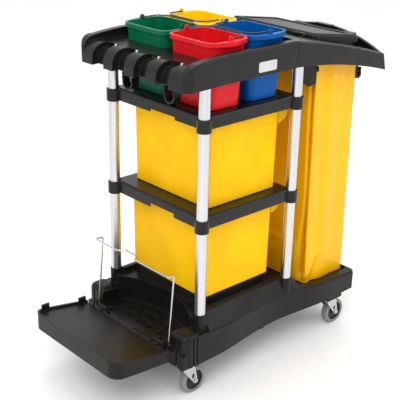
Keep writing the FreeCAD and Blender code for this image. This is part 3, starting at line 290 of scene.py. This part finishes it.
# ---- the vinyl bag -------------------------------------------------------------------------
BAG_LOW, BAG_HIGH = (Vector(corner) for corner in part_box("collection_bag"))
BAG_COLUMNS = 190
BAG_ROWS = 104
BAG_FALL = 0.263            # the top edge falls this much for each metre towards the bag end
BAG_ROUND = 0.016           # radius of the upright corners
MOUTH_IN = 0.010            # the mouth is this much narrower than the bottom, each side
MOUTH_SAG = 0.030           # the mouth hangs lower at its two inner corners
PANEL_RINGS = 8             # rings of faces in the bottom panel
SETTLE_FRAMES = 14          # length of the cloth run


def eased(t):
    t = min(1.0, max(0.0, t))
    return t * t * (3.0 - 2.0 * t)


def swell(distance, width):
    """Soft bump of height 1, centred on distance 0."""
    return math.exp(-(distance / width) ** 2)


class Ring:
    """Rounded rectangle in plan, walked from the middle of the near side towards +X."""

    def __init__(self, x0, x1, half):
        r = BAG_ROUND
        middle = (x0 + x1) / 2.0
        arc = math.pi * r / 2.0
        self.runs = [((middle, -half), (x1 - r, -half)), ((x1 - r, -half + r), -90.0),
                     ((x1, -half + r), (x1, half - r)), ((x1 - r, half - r), 0.0),
                     ((x1 - r, half), (x0 + r, half)), ((x0 + r, half - r), 90.0),
                     ((x0, half - r), (x0, -half + r)), ((x0 + r, -half + r), 180.0),
                     ((x0 + r, -half), (middle, -half))]
        self.lengths = [arc if isinstance(end, float) else math.dist(start, end)
                        for start, end in self.runs]
        self.total = sum(self.lengths)

    def at(self, share):
        """Point and outward normal."""
        left = share * self.total
        for (start, end), length in zip(self.runs, self.lengths):
            if left <= length or (start, end) == self.runs[-1]:
                break
            left -= length
        t = min(1.0, left / length)
        if isinstance(end, float):
            angle = math.radians(end + 90.0 * t)
            out = Vector((math.cos(angle), math.sin(angle), 0.0))
            return Vector((*start, 0.0)) + out * BAG_ROUND, out
        along = Vector((end[0] - start[0], end[1] - start[1], 0.0))
        out = Vector((along.y, -along.x, 0.0)).normalized()
        return Vector((*start, 0.0)) + along * t, out


def bag_rings():
    """The bag's mouth and its bottom, in plan."""
    half = (BAG_HIGH.y - BAG_LOW.y) / 2.0
    mouth = Ring(BAG_LOW.x + 0.002, BAG_HIGH.x - 0.002, half - MOUTH_IN)
    bottom = Ring(BAG_LOW.x + 0.013, BAG_HIGH.x, half - 0.001)
    return mouth, bottom


def bag_shares(ring):
    """Places round the bag, closer together beside the two inner corners."""
    steps = np.linspace(0.0, 1.0, 1500)
    corners = [(sum(ring.lengths[:5]) + ring.lengths[5] / 2.0) / ring.total,
               (sum(ring.lengths[:7]) + ring.lengths[7] / 2.0) / ring.total]
    crowd = 1.0 + sum(5.0 * np.exp(-((steps - corner) / 0.022) ** 2) for corner in corners)
    walked = np.concatenate([[0.0], np.cumsum((crowd[1:] + crowd[:-1]) / 2.0)])
    return np.interp(np.arange(BAG_COLUMNS) / BAG_COLUMNS, walked / walked[-1], steps)


def bag_folds(point, out, v):
    """How far the vinyl stands out of the plain shape; v runs from 0 at the mouth to 1 at the bottom."""
    width = BAG_HIGH.x - BAG_LOW.x
    across = (point.x - BAG_LOW.x) / width
    height = point.z - BAG_LOW.z
    fade = eased(v / 0.08) * eased((1.0 - v) / 0.10)
    reach = 0.0
    if out.x < -0.5:
        # gusset tucked in beside each inner corner, wider near the bottom
        edge = BAG_HIGH.y - 0.010 - abs(point.y)
        tuck = 0.011 + 0.012 * eased((v - 0.6) / 0.35) + 0.002 * math.sin(9.0 * v)
        slit = 0.0062 + 0.0070 * eased((v - 0.55) / 0.35)
        reach -= 0.044 * swell(edge - tuck, slit) * eased(v / 0.05) * eased((1.0 - v) / 0.05)
        reach += 0.004 * math.sin(17.0 * point.y + 2.0 * v) * fade
    if abs(out.y) > 0.5:
        side = -1.0 if out.y < 0 else 1.0
        sway = 0.02 * math.sin(4.0 * v + 0.6 * side)
        hang = eased(v / 0.06) * (1.0 - 0.65 * v)
        reach -= 0.0095 * swell(across - 0.26 - sway, 0.065) * hang
        reach += 0.0060 * swell(across - 0.42 - sway, 0.055) * hang
        reach -= 0.0050 * swell(across - 0.72 + sway, 0.085) * hang
        # crease that rises from the lower inner corner
        along = Vector((across * width, height)).dot(Vector((0.52, 0.854)))
        off = Vector((across * width, height)).dot(Vector((0.854, -0.52)))
        reach += 0.0085 * swell(off, 0.009) * eased(along / 0.03) * eased((0.19 - along) / 0.08)
        reach -= 0.0070 * swell(off - 0.035, 0.028) * eased(along / 0.03) * eased((0.16 - along) / 0.08)
    wander = noise.noise(Vector((point.x * 9.0, point.y * 9.0, point.z * 3.5)))
    pucker = noise.noise(Vector((point.x * 30.0 + 5.0, point.y * 30.0, point.z * 14.0)))
    return reach + (0.0030 * wander + 0.0006 * pucker) * fade


def bag_mesh():
    mouth, bottom = bag_rings()
    shares = bag_shares(bottom)
    points = []
    for v in np.linspace(0.0, 1.0, BAG_ROWS):
        for share in shares:
            top, out = mouth.at(share)
            low, _ = bottom.at(share)
            top_z = BAG_HIGH.z - BAG_FALL * (top.x - BAG_LOW.x)
            corner = math.hypot(top.x - BAG_LOW.x, BAG_HIGH.y - MOUTH_IN - abs(top.y))
            top_z -= MOUTH_SAG * (1.0 - eased(corner / 0.06))
            place = top.lerp(low, v)
            place.z = top_z + (BAG_LOW.z - top_z) * v
            points.append(place + out * bag_folds(place, out, v))
    faces = []
    for i in range(BAG_ROWS - 1):
        for k in range(BAG_COLUMNS):
            n = (k + 1) % BAG_COLUMNS
            a, b = i * BAG_COLUMNS, (i + 1) * BAG_COLUMNS
            faces.append((a + k, b + k, b + n, a + n))
    # bottom panel, in shrinking rings
    middle = Vector(((BAG_LOW.x + BAG_HIGH.x) / 2.0, 0.0, BAG_LOW.z))
    previous = (BAG_ROWS - 1) * BAG_COLUMNS
    rim = points[previous:previous + BAG_COLUMNS]
    for j in range(1, PANEL_RINGS):
        start = len(points)
        points.extend(middle.lerp(spot, 1.0 - j / PANEL_RINGS) for spot in rim)
        for k in range(BAG_COLUMNS):
            n = (k + 1) % BAG_COLUMNS
            faces.append((previous + k, start + k, start + n, previous + n))
        previous = start
    points.append(middle)
    for k in range(BAG_COLUMNS):
        faces.append((previous + k, len(points) - 1, previous + (k + 1) % BAG_COLUMNS))
    mesh = bpy.data.meshes.new("vinyl_bag")
    mesh.from_pydata(points, [], faces)
    return mesh


def hang_bag(bag):
    """Let the vinyl hang from its mouth and settle on its bottom."""
    pins = bag.vertex_groups.new(name="held")
    for i in range(BAG_ROWS):
        v = i / (BAG_ROWS - 1.0)
        hold = max(1.0 - eased(v / 0.05), eased((v - 0.76) / 0.24), 0.05)
        pins.add(list(range(i * BAG_COLUMNS, (i + 1) * BAG_COLUMNS)), hold, "REPLACE")
    pins.add(list(range(BAG_ROWS * BAG_COLUMNS, len(bag.data.vertices))), 1.0, "REPLACE")
    cloth = bag.modifiers.new("Cloth", "CLOTH")
    rule = cloth.settings
    rule.quality = 5
    rule.mass = 0.35
    rule.tension_stiffness = rule.compression_stiffness = 40.0
    rule.shear_stiffness = 14.0
    rule.bending_stiffness = 3.0
    rule.tension_damping = rule.compression_damping = 15.0
    rule.air_damping = 2.0
    rule.vertex_group_mass = "held"
    rule.pin_stiffness = 1.0
    rule.use_pressure = True
    rule.uniform_pressure_force = 0.10
    rule.effector_weights.gravity = 0.3
    cloth.collision_settings.use_collision = False
    scene = bpy.context.scene
    scene.frame_start = 1
    scene.frame_end = SETTLE_FRAMES
    for step in range(1, SETTLE_FRAMES + 1):
        scene.frame_set(step)
    settled = bpy.data.meshes.new_from_object(bag.evaluated_get(bpy.context.evaluated_depsgraph_get()))
    bag.modifiers.clear()
    bag.data = settled
    scene.frame_set(1)


def vinyl_bag():
    bag = bpy.data.objects.new("vinyl_bag", bag_mesh())
    bpy.context.scene.collection.objects.link(bag)
    hang_bag(bag)
    for face in bag.data.polygons:
        face.use_smooth = True
    bag.data.materials.clear()
    bag.data.materials.append(vinyl)
    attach(bag, "frame")
    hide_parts("collection_bag")
    return bag


def add_piece(name, mesh_data, material, body="frame"):
    piece = bpy.data.objects.new(name, mesh_data)
    bpy.context.scene.collection.objects.link(piece)
    piece.data.materials.append(material)
    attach(piece, body)
    return piece


def bead(name, points, radius, sides=6, closed=True):
    """Round bead along a line of points."""
    mesh = bpy.data.meshes.new(name)
    count = len(points)
    rings = []
    for i, spot in enumerate(points):
        before = points[i - 1] if closed or i else points[0]
        after = points[(i + 1) % count] if closed else points[min(i + 1, count - 1)]
        along = (after - before).normalized()
        across = along.orthogonal() if abs(along.z) > 0.9 else along.cross(Vector((0, 0, 1)))
        across.normalize()
        up = across.cross(along)
        rings.append([spot + (across * math.cos(a) + up * math.sin(a)) * radius
                      for a in (2.0 * math.pi * k / sides for k in range(sides))])
    faces = []
    for i in range(count if closed else count - 1):
        for k in range(sides):
            a, b = i * sides, ((i + 1) % count) * sides
            faces.append((a + k, a + (k + 1) % sides, b + (k + 1) % sides, b + k))
    if not closed:
        faces.append(tuple(reversed(range(sides))))
        faces.append(tuple(range((count - 1) * sides, count * sides)))
    mesh.from_pydata([corner for ring in rings for corner in ring], [], faces)
    for face in mesh.polygons:
        face.use_smooth = True
    return mesh


def bag_seams(bag):
    """Welted seams round the bottom and up the outer corners, and the hem round the mouth."""
    spots = [vertex.co.copy() for vertex in bag.data.vertices]
    bottom = spots[(BAG_ROWS - 1) * BAG_COLUMNS:BAG_ROWS * BAG_COLUMNS]
    lift = Vector((0.0, 0.0, 0.0014))
    welt = add_piece("bag_bottom_welt", bead("bag_bottom_welt", [spot + lift for spot in bottom], 0.0015),
                     vinyl)
    seams = [welt]
    for side, sign in (("near", -1.0), ("far", 1.0)):
        column = max(range(BAG_COLUMNS), key=lambda k: bottom[k].x + sign * bottom[k].y)
        line = [spots[i * BAG_COLUMNS + column] for i in range(1, BAG_ROWS - 1)]
        name = "bag_corner_welt_" + side
        seams.append(add_piece(name, bead(name, line, 0.0013, closed=False), vinyl))
    hem_rows = 5
    mesh = bpy.data.meshes.new("bag_mouth_hem")
    centre = Vector(((BAG_LOW.x + BAG_HIGH.x) / 2.0, 0.0, 0.0))
    corners = []
    for i in range(hem_rows):
        for k in range(BAG_COLUMNS):
            spot = spots[i * BAG_COLUMNS + k]
            out = Vector((spot.x - centre.x, spot.y - centre.y, 0.0)).normalized()
            corners.append(spot + out * 0.0012)
    faces = []
    for i in range(hem_rows - 1):
        for k in range(BAG_COLUMNS):
            n = (k + 1) % BAG_COLUMNS
            a, b = i * BAG_COLUMNS, (i + 1) * BAG_COLUMNS
            faces.append((a + k, b + k, b + n, a + n))
    mesh.from_pydata(corners, [], faces)
    hem = add_piece("bag_mouth_hem", mesh, vinyl)
    thick = hem.modifiers.new("Thickness", "SOLIDIFY")
    thick.thickness = 0.0012
    thick.offset = 1.0
    seams.append(hem)
    return seams


def boxed(mesh, low, high):
    """Add a softly chamfered block to a bmesh."""
    made = bmesh.ops.create_cube(mesh, size=1.0)
    for vertex in made["verts"]:
        vertex.co = Vector((low[i] + (vertex.co[i] + 0.5) * (high[i] - low[i]) for i in range(3)))
    edges = {edge for vertex in made["verts"] for edge in vertex.link_edges}
    least = min(high[i] - low[i] for i in range(3))
    bmesh.ops.bevel(mesh, geom=list(edges), offset=least * 0.28, segments=2, affect="EDGES")


ZIP_SPAN = (0.30, 0.92)     # heights of the zip's two ends
ZIP_IN = 0.030              # from the bag's near side to the line of teeth
ZIP_TEETH = 62
SLIDER_Z = 0.385


def bag_zip():
    """Zip up the bag's outer panel, beside its near corner, with its slider and pull."""
    low, high = ZIP_SPAN
    y = BAG_LOW.y + ZIP_IN

    def face_x(z):
        return BAG_HIGH.x + 0.0022 - 0.002 * (z - BAG_LOW.z) / (BAG_HIGH.z - BAG_LOW.z)

    tape = bmesh.new()
    teeth = bmesh.new()
    step = (high - low) / ZIP_TEETH
    for i in range(ZIP_TEETH):
        z = low + step * (i + 0.5)
        x = face_x(z)
        boxed(teeth, (x, y - 0.0035, z - step * 0.32), (x + 0.0022, y + 0.0035, z + step * 0.32))
    for sign in (-1.0, 1.0):
        edge = y + sign * 0.004
        outer = y + sign * 0.013
        for i in range(ZIP_TEETH):
            z0, z1 = low + step * i, low + step * (i + 1)
            corners = [tape.verts.new((face_x(z) - 0.0012 + (0.0008 if place == edge else 0.0), place, z))
                       for place, z in ((edge, z0), (outer, z0), (outer, z1), (edge, z1))]
            tape.faces.new(corners)
    bmesh.ops.remove_doubles(tape, verts=tape.verts, dist=0.0001)
    bmesh.ops.solidify(tape, geom=tape.faces, thickness=0.0009)
    slider = bmesh.new()
    z = SLIDER_Z
    x = face_x(z)
    boxed(slider, (x, y - 0.007, z - 0.008), (x + 0.0055, y + 0.007, z + 0.008))
    boxed(slider, (x + 0.0045, y - 0.0045, z - 0.040), (x + 0.0068, y + 0.0045, z - 0.001))
    pieces = []
    for name, shape in (("bag_zip_tape", tape), ("bag_zip_teeth", teeth), ("bag_zip_slider", slider)):
        mesh = bpy.data.meshes.new(name)
        shape.to_mesh(mesh)
        shape.free()
        pieces.append(add_piece(name, mesh, zip_black))
    return pieces


bag = vinyl_bag()
bag_seams(bag) + bag_zip()


# ---- camera, light and floor -----------------------------------------------------------
def studio():
    scene = bpy.context.scene
    data = bpy.data.cameras.new("camera")
    data.sensor_width = 36.0
    data.lens = 82.45
    data.shift_x = 0.0059
    data.shift_y = 0.0019
    data.clip_end = 60.0
    camera = bpy.data.objects.new("camera", data)
    scene.collection.objects.link(camera)
    azimuth, elevation, roll = (math.radians(a) for a in (-42.65, 22.41, 1.19))
    turn = (Matrix.Rotation(azimuth, 4, "Z") @ Matrix.Rotation(math.pi / 2 - elevation, 4, "X")
            @ Matrix.Rotation(roll, 4, "Z"))
    camera.matrix_world = Matrix.Translation((-2.13735, -2.26335, 1.86127)) @ turn
    scene.camera = camera

    world = bpy.data.worlds.new("studio")
    world.use_nodes = True
    back = world.node_tree.nodes["Background"]
    back.inputs["Color"].default_value = (1.0, 1.0, 1.0, 1.0)
    back.inputs["Strength"].default_value = 1.02
    scene.world = world
    scene.view_settings.view_transform = "Standard"

    for name, place, aim, size, power in (
            ("key", (-3.2, -2.6, 4.2), (0.0, 0.0, 0.6), 2.6, 105.0),
            ("fill", (2.8, -3.6, 2.2), (0.0, 0.0, 0.7), 2.4, 25.0),
            ("top", (0.4, 0.6, 4.6), (0.0, 0.0, 0.8), 3.2, 40.0)):
        lamp = bpy.data.lights.new(name, "AREA")
        lamp.size = size
        lamp.energy = power
        lamp_object = bpy.data.objects.new(name, lamp)
        lamp_object.location = place
        lamp_object.rotation_euler = (Vector(aim) - Vector(place)).to_track_quat("-Z", "Y").to_euler()
        scene.collection.objects.link(lamp_object)

    mesh = bpy.data.meshes.new("floor")
    reach = 25.0
    mesh.from_pydata([(-reach, -reach, 0), (reach, -reach, 0), (reach, reach, 0), (-reach, reach, 0)], [],
                     [(0, 1, 2, 3)])
    floor = bpy.data.objects.new("floor", mesh)
    scene.collection.objects.link(floor)
    g = Graph("pale_floor")
    g.colour(g.mixed(g.spans(g.noise(0.8, 2.0), 0.3, 0.7), (0.93, 0.93, 0.93), (0.95, 0.95, 0.95)))
    g.rough(g.spans(g.noise(3.0, 2.0), 0.3, 0.7, 0.50, 0.60))
    mesh.materials.append(g.mat)


studio()
